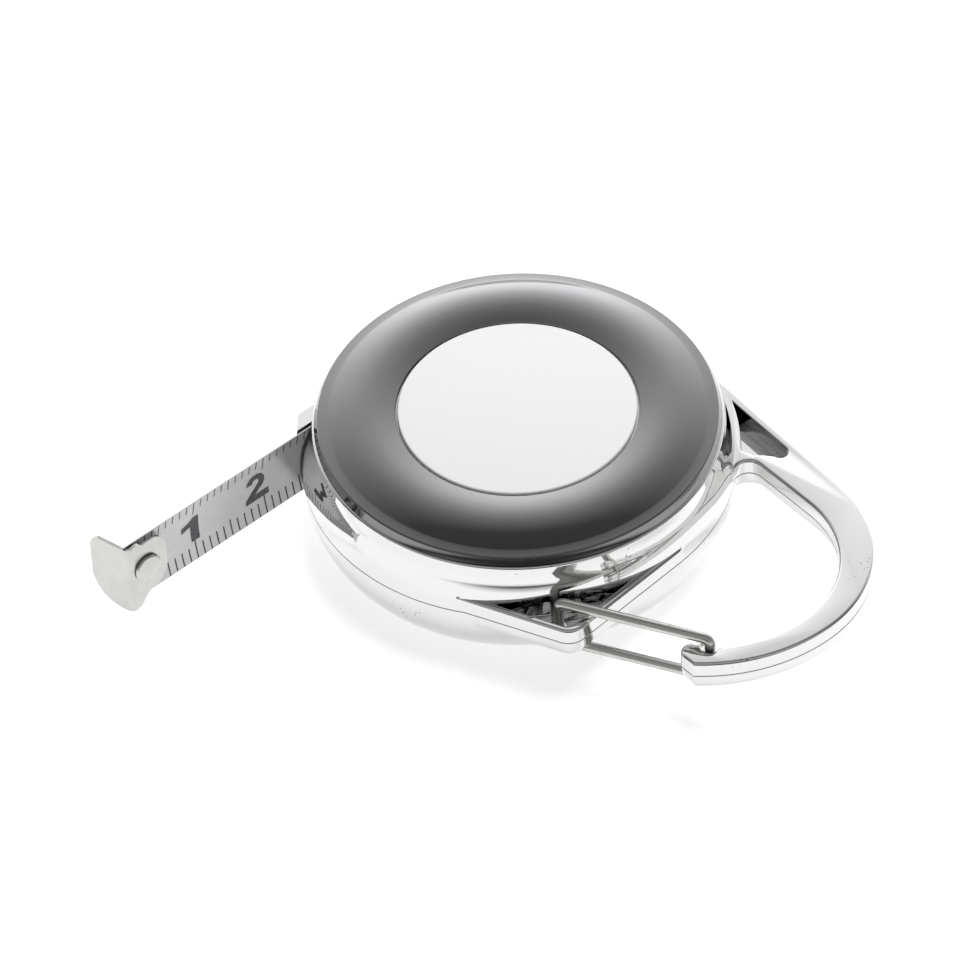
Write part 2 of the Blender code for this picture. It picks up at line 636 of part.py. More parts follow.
def make_gate_wire(finish):
    """Steel wire loop: two legs, over and under the frame, turned into the pivot hole."""
    pivot = GATE_PIVOT
    tip = GATE_TIP
    stops = [Vector((pivot.x, pivot.y, 7.35 * MM)), Vector((pivot.x, pivot.y, GATE_UPPER_Z)),
             Vector((tip.x, tip.y, GATE_UPPER_Z)), Vector((tip.x, tip.y, GATE_LOWER_Z)),
             Vector((pivot.x, pivot.y, GATE_LOWER_Z)), Vector((pivot.x, pivot.y, 7.05 * MM))]
    points = [stops[0]]
    for before, corner, after in zip(stops, stops[1:], stops[2:]):
        radius = min(GATE_BEND, 0.9 * (corner - before).length, 0.9 * (after - corner).length)
        points += bend(before, corner, after, radius)
    points.append(stops[-1])
    gate = tube("gate_wire", points, WIRE_RADIUS, finish)
    set_origin(gate, (pivot.x, pivot.y, SEAM_Z))
    return gate


def make_case_screws(finish):
    """Three screws from below, one in each boss."""
    for number, spot in enumerate(screw_spots(), 1):
        profile = [(0.0, 1.0 * MM), (1.4 * MM, 1.0 * MM), (1.4 * MM, 2.4 * MM), (0.7 * MM, 2.4 * MM),
                   (0.7 * MM, 11.6 * MM), (0.3 * MM, 12.2 * MM), (0.0, 12.2 * MM)]
        screw = turned("case_screw_%d" % number, profile, finish, 16)
        for turn in (0.0, math.pi / 2):
            across = 0.22 * MM * direction(turn)
            length = 0.95 * MM * direction(turn + math.pi / 2)
            outline = [across + length, across - length, -across - length, -across + length]
            combine(screw, prism("drive", outline, 0.5 * MM, 1.6 * MM), "DIFFERENCE")
        screw.location = (spot.x, spot.y, 0.0)


def main():
    clear_scene()
    chrome = material("chrome", (0.80, 0.80, 0.80), 1.0, 0.08)
    black = material("black_chrome", (0.20, 0.20, 0.21), 1.0, 0.1)
    white = material("white_plastic", (0.86, 0.86, 0.86), 0.0, 0.4)
    grey = material("reel_plastic", (0.35, 0.35, 0.37), 0.0, 0.5)
    steel = material("spring_steel", (0.45, 0.46, 0.50), 1.0, 0.3)
    nickel = material("nickel", (0.72, 0.72, 0.70), 1.0, 0.3)
    tape = material("tape_steel", (0.55, 0.55, 0.56), 0.6, 0.35)
    rubber = material("rubber", (0.04, 0.04, 0.04), 0.0, 0.8)

    make_lower_case(chrome)
    make_upper_case(chrome)
    make_mouth_guide(chrome)
    make_trim_ring(black)
    make_release_button(white)
    make_brake_ring(rubber)
    make_reel(grey)
    make_reel_cover(grey)
    make_mainspring(steel)
    make_tape_coil(tape)
    make_centre_post(steel)
    make_reel_washer(steel)
    make_reel_spring(steel)
    make_tape_blade(tape)
    make_end_hook(nickel)
    make_hook_rivet(nickel)
    make_gate_wire(nickel)
    make_case_screws(steel)


main()
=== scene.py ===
import math

import bmesh
import bpy
from mathutils import Matrix, Vector


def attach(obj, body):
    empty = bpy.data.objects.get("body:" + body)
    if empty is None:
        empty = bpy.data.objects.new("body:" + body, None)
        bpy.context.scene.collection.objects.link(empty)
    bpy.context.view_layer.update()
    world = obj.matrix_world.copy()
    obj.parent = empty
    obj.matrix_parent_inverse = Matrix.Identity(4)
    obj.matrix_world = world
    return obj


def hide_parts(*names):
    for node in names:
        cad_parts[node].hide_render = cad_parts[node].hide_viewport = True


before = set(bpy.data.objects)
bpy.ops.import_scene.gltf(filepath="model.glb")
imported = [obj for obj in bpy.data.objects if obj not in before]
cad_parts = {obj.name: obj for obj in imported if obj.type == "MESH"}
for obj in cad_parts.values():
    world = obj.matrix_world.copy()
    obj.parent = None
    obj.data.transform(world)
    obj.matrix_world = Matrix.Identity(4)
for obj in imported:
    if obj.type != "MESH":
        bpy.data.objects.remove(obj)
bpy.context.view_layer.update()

MM = 0.001                          # pieces are modelled in millimetres, then scaled to metres
FULL = 2.0 * math.pi
SMOOTH_ANGLE = math.radians(32.0)

# --- case ---------------------------------------------------------------------------------------
SIDES = 180                         # facets round a turned piece
CASE_RADIUS = 24.1
CASE_WIDEST_Z = 8.2
BASE_RADIUS = 18.7
SEAM_Z = 8.5
SEAM_GAP = 0.05
CORE_RADIUS = 23.3                  # inside this, within the wall, the frame is cut away
STEP = 0.01                         # small offset that keeps joined pieces from sharing a plane
CREASE_RADIUS = 23.2
CREASE_Z = 12.2
RIM_RADIUS = 22.75
DECK_TOP = 14.6
DECK_BOTTOM = 14.2
DECK_HOLE_RADIUS = 5.6
WALL = 1.2
SCREW_CIRCLE = 18.6
SCREW_ANGLES = (50.0, 170.0, 290.0)
BOSS_RADIUS = 1.95

# --- carabiner frame ----------------------------------------------------------------------------
FRAME_TOP = 10.4
FRAME_BOTTOM = 6.4
SIDE_ANGLE = math.radians(14.0)
SIDE_OFFSET = 23.7
FRONT_WALL = 0.8
BACK_WALL = 1.05
POCKET_RADIUS = 24.5                # case side of the back pocket
POCKET_END = math.radians(35.4)
HOOK_CENTRE = Vector((28.4, 1.2))
NOSE_TURN = math.radians(-10.0)
NOSE_RADIUS = 20.0
NOSE_END = math.radians(-55.5)
NOSE_TIP = Vector((34.2, -12.95))
NOSE_TIP_RADIUS = 1.35
NOTCH_RADIUS = 0.8
INNER_CENTRE = Vector((28.6, 0.0))
INNER_RADIUS = 12.4
INNER_TURN = math.radians(-15.0)
INNER_NOSE_RADIUS = 16.0
INNER_ANGLE = math.radians(79.3)
ROOT_FILLET = 1.7
POCKET_FLOOR = 7.8
BRACKET_WALL = 1.0
BRACKET_X = 24.0
BRACKET_SLOPE = math.radians(5.3)
BRACKET_ROUND = 2.2
EDGE_ROUND = 0.4                    # rounding of the frame's upper edge
POCKET_ROUND = 0.2
DRAFT = 0.35                        # how far the lower half leans in

# --- gate ---------------------------------------------------------------------------------------
WIRE_RADIUS = 0.6
GATE_PIVOT = Vector((18.85, -16.85))
GATE_TIP = Vector((35.3, -11.35))
GATE_UPPER_Z = 11.5
GATE_LOWER_Z = 5.65
GATE_BEND = 0.85

# --- tape ---------------------------------------------------------------------------------------
TAPE_WIDTH = 8.7
TAPE_CENTRE_Z = 9.5
TAPE_THICKNESS = 0.15
TAPE_SAGITTA = 0.55
TAPE_OFFSET = 15.5
TAPE_ANGLE = math.radians(9.46)
TAPE_OUT = Vector((-math.sin(TAPE_ANGLE), -math.cos(TAPE_ANGLE), 0.0))
TAPE_SIDE = Vector((-math.cos(TAPE_ANGLE), math.sin(TAPE_ANGLE), 0.0))
TAPE_ZERO = 43.7
TAPE_INNER_END = 8.0
TAPE_CLEAR = 0.2                    # between the tape and its sleeve
MOUTH_SPAN = (12.0, 26.0)           # along the tape, right through the case's wall
INK_LIFT = 0.02
INK_GAP = 0.005
SCALE_LENGTH = 35                   # printed millimetres
HIDDEN_MARKS = 5                    # lower marks that would lie under the hook
# lengths of a centimetre, half centimetre and millimetre mark, and its width
LOWER_MARKS = (2.65, 2.15, 1.75, 0.17)
UPPER_MARKS = (2.0, 1.6, 1.3, 0.12)
MARK_MARGIN = 0.08                  # between the marks and the tape's edge
RIVET_AT = 2.45
RIVET_RISE = 0.2
HOOK_THICK = 0.4
HOOK_FACE = -0.2                    # side of the plate that lies on the tape
HOOK_SPLAY = math.radians(18.0)
HOOK_BEND = 0.7                     # radius of the bend
HOOK_PLATE = 4.599                  # length of the flat plate and of the rest, along its middle
HOOK_REACH = 5.2
RIVET_HOLE = ((0.0, -2.0), (0.9, -2.0), (0.9, 3.0), (0.0, 3.0))   # (radius, side) of the hole's profile

# --- ring and disc ------------------------------------------------------------------------------
BUTTON_RADIUS = 13.2
BUTTON_TOP = 16.5
RING_OUTER = 22.5
RING_LIP = 22.15
RING_LIP_Z = 15.7
RING_INNER = 13.45
RING_INNER_Z = 16.35
DOME_FOOT = 21.05
DOME_RISE = 0.849

# --- camera -------------------------------------------------------------------------------------
CAMERA_AZIMUTH = math.radians(40.80)
CAMERA_ELEVATION = math.radians(45.61)
CAMERA_ROLL = math.radians(2.87)
CAMERA_TARGET = Vector((-1.218, -5.330, 8.5))
CAMERA_DISTANCE = 827.2
CAMERA_LENS = 280.67

# --- light --------------------------------------------------------------------------------------
SKY_STRENGTH = 2.9
# (place, brightness) from the camera's side, over the zenith, to the far side
SKY_STEPS = ((0.0, 0.03), (0.03, 0.05), (0.10, 0.13), (0.30, 0.15), (0.38, 0.11), (0.45, 0.05),
             (0.56, 0.06), (0.65, 0.14), (0.75, 0.23), (0.854, 0.38), (0.933, 0.58), (0.97, 0.75),
             (1.0, 1.0))
LAMP_POWER = 4.1
# strength of the floor's painted glow, which lifts it near the object and washes out its shadows
FLOOR_PAINTED_GLOW = 0.55
FLOOR_FADE = (0.11, 0.24)           # the painted glow fades out, and painted shade darkens the floor, between these distances towards the camera, in metres


# --- materials ----------------------------------------------------------------------------------
class Finish:
    """A Principled material and the few nodes that its detail needs."""

    def __init__(self, name, colour, metallic, roughness):
        self.made = bpy.data.materials.new(name)
        self.made.use_nodes = True
        self.nodes = self.made.node_tree.nodes
        self.links = self.made.node_tree.links
        self.shader = self.nodes["Principled BSDF"]
        self.shader.inputs["Base Color"].default_value = (*colour, 1.0)
        self.shader.inputs["Metallic"].default_value = metallic
        self.shader.inputs["Roughness"].default_value = roughness
        self.colour = colour
        self.place = self.nodes.new("ShaderNodeTexCoord").outputs["Object"]

    def stretched(self, scale):
        """Object coordinates scaled by a factor on each axis."""
        mapping = self.nodes.new("ShaderNodeMapping")
        mapping.inputs["Scale"].default_value = scale
        self.links.new(self.place, mapping.inputs["Vector"])
        return mapping.outputs["Vector"]

    def noise(self, scale, detail=2.0, place=None):
        """A noise value between 0 and 1."""
        node = self.nodes.new("ShaderNodeTexNoise")
        node.inputs["Scale"].default_value = scale
        node.inputs["Detail"].default_value = detail
        self.links.new(place or self.place, node.inputs["Vector"])
        return node.outputs["Fac"]

    def spots(self, scale, place=None):
        """Distance to the nearest of scattered points."""
        node = self.nodes.new("ShaderNodeTexVoronoi")
        node.inputs["Scale"].default_value = scale
        self.links.new(place or self.place, node.inputs["Vector"])
        return node.outputs["Distance"]

    def remap(self, value, low, high, new_low, new_high):
        """Map a value from one range to another and clamp it."""
        node = self.nodes.new("ShaderNodeMapRange")
        node.inputs["From Min"].default_value = low
        node.inputs["From Max"].default_value = high
        node.inputs["To Min"].default_value = new_low
        node.inputs["To Max"].default_value = new_high
        self.links.new(value, node.inputs["Value"])
        return node.outputs["Result"]

    def times(self, first, second):
        node = self.nodes.new("ShaderNodeMath")
        node.operation = "MULTIPLY"
        self.links.new(first, node.inputs[0])
        self.links.new(second, node.inputs[1])
        return node.outputs["Value"]

    def tint(self, share, other):
        """Blend the base colour towards another one by a share."""
        node = self.nodes.new("ShaderNodeMix")
        node.data_type = "RGBA"
        node.inputs[6].default_value = (*self.colour, 1.0)
        node.inputs[7].default_value = (*other, 1.0)
        self.links.new(share, node.inputs[0])
        self.links.new(node.outputs[2], self.shader.inputs["Base Color"])

    def roughen(self, value):
        self.links.new(value, self.shader.inputs["Roughness"])

    def bump(self, value, depth):
        """Raise the surface by up to a depth in millimetres."""
        node = self.nodes.new("ShaderNodeBump")
        node.inputs["Distance"].default_value = depth * MM
        self.links.new(value, node.inputs["Height"])
        self.links.new(node.outputs["Normal"], self.shader.inputs["Normal"])


def chrome_finish():
    """Bright plating: faint waviness, and small dark pits that gather in patches."""
    finish = Finish("chrome", (0.70, 0.70, 0.695), 1.0, 0.04)
    pits = finish.remap(finish.spots(1500.0), 0.10, 0.22, 1.0, 0.0)
    patches = finish.remap(finish.noise(160.0, 1.0), 0.62, 0.70, 0.0, 1.0)
    finish.tint(finish.times(pits, patches), (0.12, 0.12, 0.11))
    finish.roughen(finish.remap(finish.noise(400.0), 0.35, 0.75, 0.03, 0.07))
    finish.bump(finish.noise(110.0, 1.0), 0.008)
    return finish.made


def black_chrome_finish():
    """Smoky mirror with light dust specks."""
    finish = Finish("black_chrome", (0.205, 0.205, 0.21), 1.0, 0.07)
    dust = finish.remap(finish.spots(260.0), 0.012, 0.03, 1.0, 0.0)
    finish.tint(dust, (0.5, 0.5, 0.5))
    finish.roughen(finish.remap(finish.noise(500.0, 3.0), 0.3, 0.8, 0.05, 0.11))
    finish.bump(finish.noise(90.0, 1.0), 0.006)
    return finish.made


def white_finish():
    """Satin white plastic with a very fine grain."""
    finish = Finish("white_plastic", (0.90, 0.90, 0.905), 0.0, 0.45)
    finish.tint(finish.remap(finish.noise(1200.0, 3.0), 0.4, 0.8, 0.0, 0.1), (0.80, 0.80, 0.81))
    finish.bump(finish.noise(4000.0), 0.002)
    return finish.made


def tape_finish():
    """Silver lacquer with fine lines along the tape."""
    finish = Finish("tape_steel", (0.52, 0.52, 0.53), 0.72, 0.32)
    lines = finish.noise(300.0, 3.0, finish.stretched((8.0, 1.0, 8.0)))
    finish.tint(finish.remap(lines, 0.3, 0.8, 0.0, 0.35), (0.44, 0.44, 0.455))
    finish.roughen(finish.remap(lines, 0.3, 0.7, 0.28, 0.40))
    finish.bump(lines, 0.002)
    return finish.made


def ink_finish():
    """Dark grey print, slightly worn."""
    finish = Finish("ink", (0.035, 0.035, 0.042), 0.0, 0.45)
    worn = finish.remap(finish.noise(2600.0, 4.0), 0.45, 0.85, 0.0, 0.35)
    finish.tint(worn, (0.22, 0.22, 0.23))
    return finish.made


def nickel_finish():
    """Satin nickel with soft mottling and tumbling marks."""
    finish = Finish("nickel", (0.55, 0.545, 0.53), 1.0, 0.28)
    mottle = finish.noise(700.0, 4.0)
    finish.tint(finish.remap(mottle, 0.35, 0.8, 0.0, 0.4), (0.48, 0.475, 0.46))
    finish.roughen(finish.remap(mottle, 0.3, 0.7, 0.24, 0.36))
    finish.bump(finish.noise(1600.0, 3.0), 0.004)
    return finish.made


def spring_steel_finish():
    """Blued steel with drawn lines round the strip and a few brown stains."""
    finish = Finish("spring_steel", (0.45, 0.46, 0.50), 1.0, 0.3)
    finish.tint(finish.remap(finish.noise(500.0, 4.0), 0.5, 0.8, 0.0, 0.5), (0.34, 0.30, 0.27))
    finish.roughen(finish.remap(finish.noise(900.0, 2.0), 0.3, 0.7, 0.22, 0.42))
    finish.bump(finish.noise(900.0, 2.0, finish.stretched((1.0, 1.0, 6.0))), 0.004)
    return finish.made


def reel_plastic_finish():
    """Grey moulded plastic with a fine spark-eroded grain."""
    finish = Finish("reel_plastic", (0.35, 0.35, 0.37), 0.0, 0.5)
    finish.tint(finish.remap(finish.noise(350.0, 3.0), 0.4, 0.8, 0.0, 0.4), (0.28, 0.28, 0.30))
    finish.bump(finish.noise(3000.0, 2.0), 0.01)
    return finish.made


def rubber_finish():
    """Matt black rubber with dusty patches."""
    finish = Finish("rubber", (0.04, 0.04, 0.04), 0.0, 0.8)
    finish.tint(finish.remap(finish.noise(600.0, 4.0), 0.5, 0.8, 0.0, 0.6), (0.11, 0.11, 0.105))
    finish.bump(finish.noise(2500.0, 2.0), 0.01)
    return finish.made


FINISHES = {
    "chrome": chrome_finish(),
    "black_chrome": black_chrome_finish(),
    "white_plastic": white_finish(),
    "tape_steel": tape_finish(),
    "ink": ink_finish(),
    "nickel": nickel_finish(),
    "spring_steel": spring_steel_finish(),
    "reel_plastic": reel_plastic_finish(),
    "rubber": rubber_finish(),
}


# --- mesh helpers -------------------------------------------------------------------------------
def add_object(name, bm):
    """Turn a bmesh into an object with outward normals and smooth round faces."""
    bmesh.ops.remove_doubles(bm, verts=bm.verts, dist=1e-5)
    bmesh.ops.recalc_face_normals(bm, faces=bm.faces)
    mesh = bpy.data.meshes.new(name)
    bm.to_mesh(mesh)
    bm.free()
    mesh.shade_smooth()
    mesh.set_sharp_from_angle(angle=SMOOTH_ANGLE)
    made = bpy.data.objects.new(name, mesh)
    bpy.context.scene.collection.objects.link(made)
    return made


def show(piece, finish, body, slot, *nodes):
    """Give a piece its finish and let it stand for CAD nodes on a moving body."""
    piece.data.transform(Matrix.Scale(MM, 4))
    piece.data.materials.clear()
    piece.data.materials.append(FINISHES[finish])
    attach(piece, body)
    if nodes:
        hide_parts(*nodes)


def direction(angle):
    return Vector((math.cos(angle), math.sin(angle)))


def arc(centre, radius, start, end, count):
    """Points on an arc, both ends included."""
    points = []
    for step in range(count):
        angle = start + (end - start) * step / (count - 1)
        points.append(Vector(centre) + radius * direction(angle))
    return points


def turned(name, profile, sides=SIDES):
    """Turn a closed (radius, z) profile about the Z axis. Points at radius 0 become poles."""
    bm = bmesh.new()
    rings = []
    for radius, height in profile:
        if radius < 1e-9:
            rings.append([bm.verts.new((0.0, 0.0, height))])
            continue
        ring = []
        for step in range(sides):
            spot = radius * direction(FULL * step / sides)
            ring.append(bm.verts.new((spot.x, spot.y, height)))
        rings.append(ring)
    for first, second in zip(rings, rings[1:] + rings[:1]):
        if len(first) == 1 and len(second) == 1:
            continue
        for step in range(sides):
            after = (step + 1) % sides
            corners = {first[step % len(first)]: None, first[after % len(first)]: None}
            corners.update({second[after % len(second)]: None, second[step % len(second)]: None})
            bm.faces.new(list(corners))
    return add_object(name, bm)


def prism(name, outline, low, high):
    """Extrude a closed XY outline between two heights."""
    bm = bmesh.new()
    bottom = [bm.verts.new((point[0], point[1], low)) for point in outline]
    top = [bm.verts.new((point[0], point[1], high)) for point in outline]
    bm.faces.new(bottom)
    bm.faces.new(top)
    for index in range(len(outline)):
        after = (index + 1) % len(outline)
        bm.faces.new((bottom[index], bottom[after], top[after], top[index]))
    return add_object(name, bm)


def cylinder(name, centre, radius, low, high, sides=40):
    """An upright cylinder."""
    return prism(name, arc(centre, radius, 0.0, FULL * (sides - 1) / sides, sides), low, high)


def combine(target, tool, operation):
    """Apply one exact Boolean to the target and remove the tool."""
    step = target.modifiers.new("combine", "BOOLEAN")
    step.operation = operation
    step.solver = "EXACT"
    step.object = tool
    graph = bpy.context.evaluated_depsgraph_get()
    result = bpy.data.meshes.new_from_object(target.evaluated_get(graph))
    target.modifiers.remove(step)
    target.data = result
    bpy.data.objects.remove(tool, do_unlink=True)
    result.shade_smooth()
    result.set_sharp_from_angle(angle=SMOOTH_ANGLE)


def tube(name, points, radius, resolution=6):
    """A round wire through the points, with filled ends, turned into a mesh."""
    curve = bpy.data.curves.new(name, "CURVE")
    curve.dimensions = "3D"
    curve.bevel_depth = radius
    curve.bevel_resolution = resolution
    curve.use_fill_caps = True
    spline = curve.splines.new("POLY")
    spline.points.add(len(points) - 1)
    for slot, point in zip(spline.points, points):
        slot.co = (*point, 1.0)
    guide = bpy.data.objects.new(name + "_path", curve)
    bpy.context.scene.collection.objects.link(guide)
    graph = bpy.context.evaluated_depsgraph_get()
    bm = bmesh.new()
    bm.from_mesh(guide.evaluated_get(graph).to_mesh())
    bpy.data.objects.remove(guide, do_unlink=True)
    return add_object(name, bm)


# --- carabiner frame ----------------------------------------------------------------------------
def bracket_corner(offset, wall_x):
    """Where the front side line, at an offset from the axis, meets the bracket's end wall."""
    normal = direction(SIDE_ANGLE - math.pi / 2)
    along = Vector((-math.sin(BRACKET_SLOPE), -math.cos(BRACKET_SLOPE)))
    start = Vector((wall_x, -2.0))
    return start + along * ((offset - normal.dot(start)) / normal.dot(along))


def frame_outline():
    """Plan of the carabiner: straight sides, the hook, its nose with the gate notch, and the bracket."""
    back_normal = math.pi / 2 - SIDE_ANGLE
    tangent_back = SIDE_OFFSET * direction(back_normal)
    tangent_front = Vector((tangent_back.x, -tangent_back.y))
    outer_radius = SIDE_OFFSET - direction(back_normal).dot(HOOK_CENTRE)
    nose_centre = HOOK_CENTRE + (outer_radius - NOSE_RADIUS) * direction(NOSE_TURN)
    inner_normal = direction(INNER_ANGLE)
    inner_offset = inner_normal.dot(INNER_CENTRE) + INNER_RADIUS
    reach = CASE_RADIUS - 0.1 + ROOT_FILLET
    fillet_height = inner_offset - ROOT_FILLET
    fillet_along = math.sqrt(reach * reach - fillet_height * fillet_height)
    fillet_centre = fillet_height * inner_normal + fillet_along * Vector((inner_normal.y, -inner_normal.x))
    fillet_start = math.atan2(-fillet_centre.y, -fillet_centre.x) + FULL
    notch_x = GATE_TIP.x + NOTCH_RADIUS
    opening = INNER_CENTRE + (INNER_RADIUS - INNER_NOSE_RADIUS) * direction(INNER_TURN)
    notch_drop = math.sqrt(INNER_NOSE_RADIUS ** 2 - (notch_x - opening.x) ** 2)
    opening_end = math.atan2(-notch_drop, notch_x - opening.x)
    round_centre = bracket_corner(SIDE_OFFSET - BRACKET_ROUND, BRACKET_X - BRACKET_ROUND)

    points = [tangent_front]
    points += arc(round_centre, BRACKET_ROUND, SIDE_ANGLE - math.pi / 2, -BRACKET_SLOPE, 13)
    points += [Vector((BRACKET_X, -2.0)), Vector((22.8, 4.0))]
    points += arc(fillet_centre, ROOT_FILLET, fillet_start, INNER_ANGLE, 16)
    points += arc(INNER_CENTRE, INNER_RADIUS, INNER_ANGLE, INNER_TURN, 44)
    points += arc(opening, INNER_NOSE_RADIUS, INNER_TURN, opening_end, 12)[1:]
    points += arc(GATE_TIP, NOTCH_RADIUS, 0.0, -math.pi, 15)
    points += [Vector((34.5, -11.1)), Vector((33.9, -11.25))]
    points += arc(NOSE_TIP, NOSE_TIP_RADIUS, math.radians(135.0), math.radians(255.0), 16)
    points += arc(nose_centre, NOSE_RADIUS, NOSE_END, NOSE_TURN, 24)
    points += arc(HOOK_CENTRE, outer_radius, NOSE_TURN, back_normal, 56)[1:]
    points.append(tangent_back)
    return points


def front_pocket_outline():
    """Triangle between the case, the front side and the bracket's end wall."""
    offset = SIDE_OFFSET - FRONT_WALL
    corner_radius = BRACKET_ROUND - BRACKET_WALL
    tip = offset * direction(SIDE_ANGLE - math.pi / 2)
    corner = bracket_corner(offset - corner_radius, BRACKET_X - BRACKET_WALL - corner_radius)
    top = bracket_corner(10.0, BRACKET_X - BRACKET_WALL)
    turn = arc(corner, corner_radius, SIDE_ANGLE - math.pi / 2, -BRACKET_SLOPE, 9)
    return [tip] + turn + [top, Vector((18.0, -4.0))]


def back_pocket_outline():
    """Triangle between the case, the back side and the bar that runs from the root of the loop."""
    offset = SIDE_OFFSET - BACK_WALL
    normal = math.pi / 2 - SIDE_ANGLE
    end = Vector((23.6, 16.55))
    turn = arc(end, offset - direction(normal).dot(end), normal, math.radians(-95.0), 11)
    first = normal - math.acos(offset / POCKET_RADIUS)
    case_side = arc((0.0, 0.0), POCKET_RADIUS, first, POCKET_END, 13)
    bar = [Vector(spot) for spot in ((21.5, 14.4), (22.4, 15.1))]
    return case_side + bar + turn[::-1]


def inset(outline, distance):
    """Move a closed outline inwards by a distance; a negative one moves it outwards."""
    count = len(outline)
    area = sum(outline[i - 1].cross(outline[i]) for i in range(count))
    sign = 1.0 if area > 0.0 else -1.0
    result = []
    for index, point in enumerate(outline):
        into = (point - outline[index - 1]).normalized()
        away = (outline[(index + 1) % count] - point).normalized()
        normals = [sign * Vector((-run.y, run.x)) for run in (into, away)]
        middle = (normals[0] + normals[1]).normalized()
        result.append(point + middle * distance / max(middle.dot(normals[0]), 0.5))
    return result


def rounding(top, radius, count=5):
    """(height, inset) steps of a rounded upper edge."""
    steps = []
    for step in range(count):
        angle = math.pi / 2 * step / (count - 1)
        steps.append((top - radius * (1.0 - math.sin(angle)), radius * (1.0 - math.cos(angle))))
    return steps


def stacked(name, outline, levels):
    """A solid that follows an outline through (height, inset) levels."""
    bm = bmesh.new()
    loops = []
    for height, distance in levels:
        loops.append([bm.verts.new((*spot, height)) for spot in inset(outline, distance)])
    for first, second in zip(loops, loops[1:]):
        for index in range(len(outline)):
            after = (index + 1) % len(outline)
            bm.faces.new((first[index], first[after], second[after], second[index]))
    bm.faces.new(loops[0])
    bm.faces.new(loops[-1])
    return add_object(name, bm)


def frame_half(levels, pocket_levels):
    """One half of the carabiner with rounded edges, and its two pockets open at the top."""
    half = stacked("frame_half", frame_outline(), levels)
    top, flare = pocket_levels[-1]
    for outline in (front_pocket_outline(), back_pocket_outline()):
        steps = [(height, -distance) for height, distance in pocket_levels] + [(top + 1.0, -flare)]
        combine(half, stacked("pocket", outline, steps), "DIFFERENCE")
    core = [(0.0, FRAME_BOTTOM - 1.0), (CORE_RADIUS, FRAME_BOTTOM - 1.0), (CORE_RADIUS, FRAME_TOP + 1.0),
            (0.0, FRAME_TOP + 1.0)]
    combine(half, turned("core", core), "DIFFERENCE")
    return half


# --- shells -------------------------------------------------------------------------------------
def lower_wall(radius, low_radius, depth, count=33):
    """Quarter of an ellipse from the flat underside up to the widest point."""
    points = []
    for step in range(count):
        angle = math.pi / 2 * step / (count - 1)
        across = low_radius + (radius - low_radius) * math.sin(angle)
        points.append((across, CASE_WIDEST_Z - depth * math.cos(angle)))
    return points


def tape_point(along, side=0.0, height=0.0):
    """A point given along the tape from its tangent point, sideways off its line, and up."""
    return along * TAPE_OUT + (TAPE_OFFSET + side) * TAPE_SIDE + Vector((0.0, 0.0, height))


def tape_box(name, along, side, heights):
    """A box whose sides run along the tape: (from, to) along it, (from, to) sideways, and heights."""
    corners = [(along[0], side[0]), (along[1], side[0]), (along[1], side[1]), (along[0], side[1])]
    return prism(name, [tape_point(a, s).xy for a, s in corners], heights[0], heights[1])


def cut_mouth(shell):
    """The slot that the tape and its guide pass through."""
    mouth = tape_box("mouth", MOUTH_SPAN, (-0.68, 2.5), (4.55, DECK_BOTTOM - 0.1))
    combine(shell, mouth, "DIFFERENCE")


def screw_spots():
    for degrees in SCREW_ANGLES:
        yield SCREW_CIRCLE * direction(math.radians(degrees))


def make_lower_shell():
    top = SEAM_Z - SEAM_GAP / 2
    edge = CASE_RADIUS - 0.02
    outer = [(0.0, 0.0)] + lower_wall(CASE_RADIUS, BASE_RADIUS, CASE_WIDEST_Z)
    outer += [(edge, top - 0.06), (edge - 0.06, top)]
    inner = [(0.0, WALL)] + lower_wall(CASE_RADIUS - WALL, BASE_RADIUS - 1.2, CASE_WIDEST_Z - WALL, 17)
    inner.append((CASE_RADIUS - WALL, top))
    shell = turned("lower_shell", outer + inner[::-1])
    rim = top - STEP
    levels = [(FRAME_BOTTOM, DRAFT + 0.25), (FRAME_BOTTOM + 0.1, DRAFT + 0.08),
              (FRAME_BOTTOM + 0.3, DRAFT - 0.03), (7.4, 0.13), (rim - 0.05, 0.0), (rim, 0.05)]
    combine(shell, frame_half(levels, [(POCKET_FLOOR, 0.0), (rim, 0.0)]), "UNION")
    for spot in screw_spots():
        combine(shell, cylinder("boss", spot, BOSS_RADIUS, 0.9, top - 2.0 * STEP), "UNION")
    combine(shell, cylinder("socket", (0.0, 0.0), 2.4, 0.6, 3.2), "UNION")
    combine(shell, cylinder("socket_bore", (0.0, 0.0), 1.5, 1.5, 4.0), "DIFFERENCE")
    for spot in screw_spots():
        combine(shell, cylinder("head_bore", spot, 1.6, -1.0, 2.6), "DIFFERENCE")
        combine(shell, cylinder("shank_bore", spot, 1.0, 2.0, top + 1.0), "DIFFERENCE")
    combine(shell, cylinder("pivot_hole", GATE_PIVOT, 0.8, 5.0, 9.0), "DIFFERENCE")
    cut_mouth(shell)
    show(shell, "chrome", "case", "chrome", "lower_case")


def upper_wall():
    """Side of the upper shell: a short bulge up to the crease, then a hollow band up to the rim."""
    start = (CASE_RADIUS - 0.02, SEAM_Z + SEAM_GAP / 2 + 0.06)
    points = [(start[0] - 0.06, start[1] - 0.06), start, (CASE_RADIUS - 0.08, 9.2),
              (CASE_RADIUS - 0.2, 10.0), (CASE_RADIUS - 0.42, 10.9),
              (CASE_RADIUS - 0.7, 11.7), (CREASE_RADIUS, CREASE_Z),
              (CREASE_RADIUS - 0.2, CREASE_Z + 0.5), (RIM_RADIUS + 0.06, 13.5)]
    for height, distance in rounding(DECK_TOP, 0.3, 6):
        points.append((RIM_RADIUS - distance, height))
    return points


